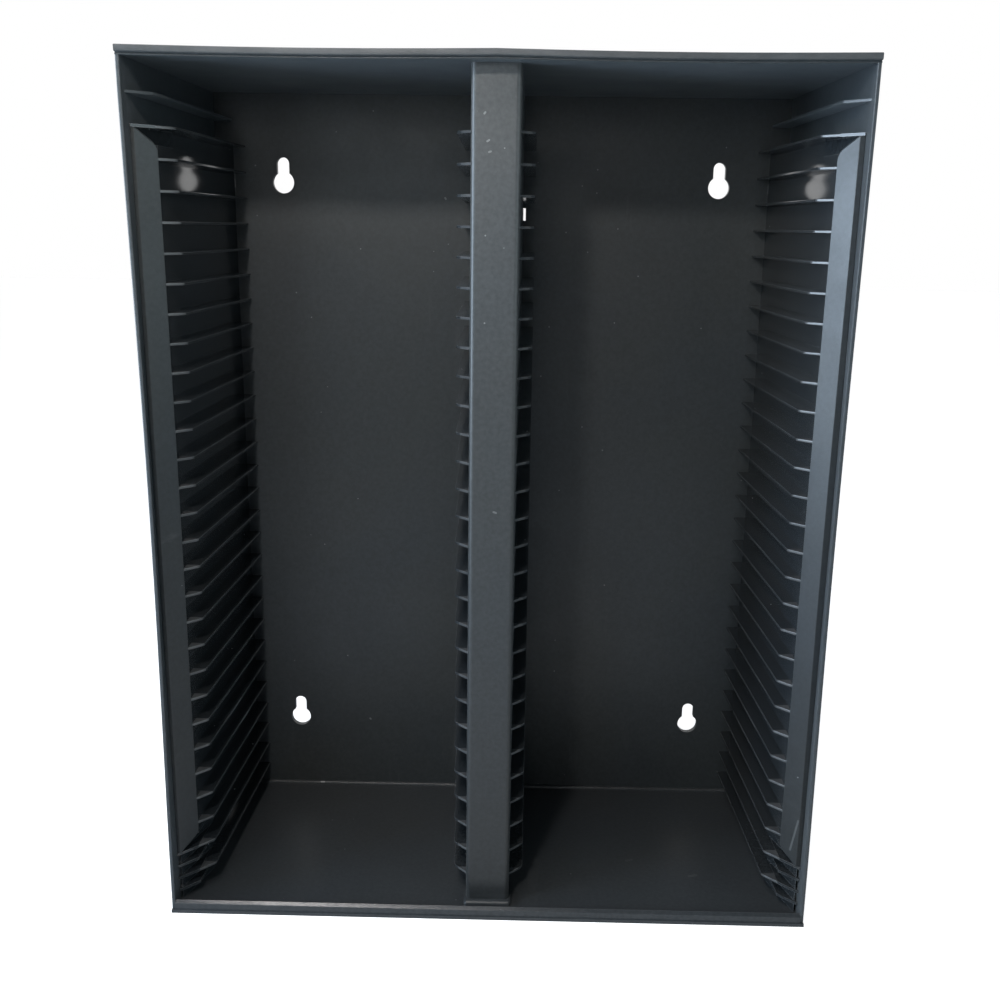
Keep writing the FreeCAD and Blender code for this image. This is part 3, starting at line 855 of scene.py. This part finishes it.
# floor and room: their white is for the camera, and shows in gloss from behind the rack only
studioLook = {
    "floorSize": 12, "floorColor": (0.85, 0.85, 0.85, 1), "floorRough": 0.8, "floorWhite": 0.93,
    "roomColor": (0.8, 0.9, 1.0, 1), "roomStrength": 0.03,
    "white": (1, 1, 1, 1), "whiteStrength": 1.0,
    "behind": 0.35,  # how far back a reflection has to point to show the white ground
}


def seenStraight(tree, rays):  # by the camera, also through something clear
    direct, through = rays.outputs["Is Camera Ray"], rays.outputs["Is Transmission Ray"]
    return maths(tree, "MAXIMUM", direct, through)


s = studioLook
deselect()
bpy.ops.mesh.primitive_plane_add(size=s["floorSize"], location=(0, 0, 0))
floor = bpy.context.object
floor.name = "paleFloor"
floorFinish = bpy.data.materials.new("paleFloor")
floorFinish.use_nodes = True
tree = floorFinish.node_tree
nodes, links = tree.nodes, tree.links
paint = nodes["Principled BSDF"]
paint.inputs["Base Color"].default_value = s["floorColor"]
paint.inputs["Roughness"].default_value = s["floorRough"]
glow = nodes.new("ShaderNodeEmission")
seen = seenStraight(tree, nodes.new("ShaderNodeLightPath"))
links.new(maths(tree, "MULTIPLY", seen, s["floorWhite"]), glow.inputs["Strength"])
both = nodes.new("ShaderNodeAddShader")  # white by itself, with the lamps' faint shadow on top
links.new(paint.outputs["BSDF"], both.inputs[0])
links.new(glow.outputs["Emission"], both.inputs[1])
links.new(both.outputs["Shader"], nodes["Material Output"].inputs["Surface"])
floor.data.materials.append(floorFinish)

world = bpy.data.worlds.new("studio")
bpy.context.scene.world = world
world.use_nodes = True
tree = world.node_tree
nodes, links = tree.nodes, tree.links
room = nodes["Background"]
room.inputs["Color"].default_value = s["roomColor"]
room.inputs["Strength"].default_value = s["roomStrength"]
white = nodes.new("ShaderNodeBackground")
white.inputs["Color"].default_value = s["white"]
white.inputs["Strength"].default_value = s["whiteStrength"]
rays = nodes.new("ShaderNodeLightPath")
direction = nodes.new("ShaderNodeSeparateXYZ")
links.new(nodes.new("ShaderNodeTexCoord").outputs["Generated"], direction.inputs["Vector"])
behind = maths(tree, "GREATER_THAN", direction.outputs["Y"], s["behind"])
mirrored = maths(tree, "MULTIPLY", rays.outputs["Is Glossy Ray"], behind)
blend = nodes.new("ShaderNodeMixShader")
links.new(maths(tree, "MAXIMUM", seenStraight(tree, rays), mirrored), blend.inputs["Fac"])
links.new(room.outputs["Background"], blend.inputs[1])
links.new(white.outputs["Background"], blend.inputs[2])
links.new(blend.outputs["Shader"], nodes["World Output"].inputs["Surface"])


def lamp(name, look):
    deselect()
    bpy.ops.object.light_add(type="AREA", location=look["place"])
    light = bpy.context.object
    light.name = name
    light.data.shape = "RECTANGLE"
    light.data.size, light.data.size_y = look["size"]
    light.data.energy = look["power"]
    light.data.color = look["color"]
    aim = Vector(look["aim"]) - Vector(look["place"])
    light.rotation_euler = aim.to_track_quat("-Z", "Y").to_euler()
    light.visible_camera = False


lamps = {  # places and sizes in metres
    "keyLamp": {"place": (-0.11, -0.435, 0.552), "aim": (0, 0, 0.2), "size": (0.04, 0.03),
                "power": 0.88, "color": (1.0, 0.95, 0.9)},
    "ceilingLamp": {"place": (-0.19, -0.29, 0.816), "aim": (0, 0, 0.2), "size": (0.34, 0.04),
                    "power": 1.65, "color": (1.0, 0.96, 0.95)},
    "windowLight": {"place": (-1.5, -0.5, 0.385), "aim": (0.1, 0, 0.3), "size": (1.0, 0.72),
                    "power": 29.0, "color": (0.67, 0.825, 1.0)},
    "leftSoft": {"place": (-1.0, -1.6, 0.6), "aim": (0, 0, 0.25), "size": (0.9, 0.8),
                 "power": 4.6, "color": (0.77, 0.93, 1.0)},
    "frontSoft": {"place": (-0.2, -2.0, 0.5), "aim": (0, 0, 0.3), "size": (0.5, 0.4),
                  "power": 2.1, "color": (0.99, 1.0, 1.0)},
    "rightSoft": {"place": (1.32, -0.92, 0.45), "aim": (0, 0, 0.3), "size": (0.9, 0.7),
                  "power": 4.8, "color": (0.75, 0.925, 1.0)},
}
for name, look in lamps.items():
    lamp(name, look)

cameraSizes = {  # its place as the pieces' places, its turn in degrees
    "place": (10.639, -459.395, 323.112), "turn": (75.9728, -0.757, 1.0395),
    "lens": 39.225, "film": 36.0, "nearest": 0.01,
}
s = cameraSizes
deselect()
turn = [math.radians(angle) for angle in s["turn"]]
bpy.ops.object.camera_add(location=spot(*s["place"]), rotation=turn)
camera = bpy.context.object
camera.data.sensor_width = s["film"]
camera.data.lens = s["lens"]
camera.data.clip_start = s["nearest"]
bpy.context.scene.camera = camera
bpy.context.scene.view_settings.view_transform = "Standard"
print("floor, lamps and camera placed")
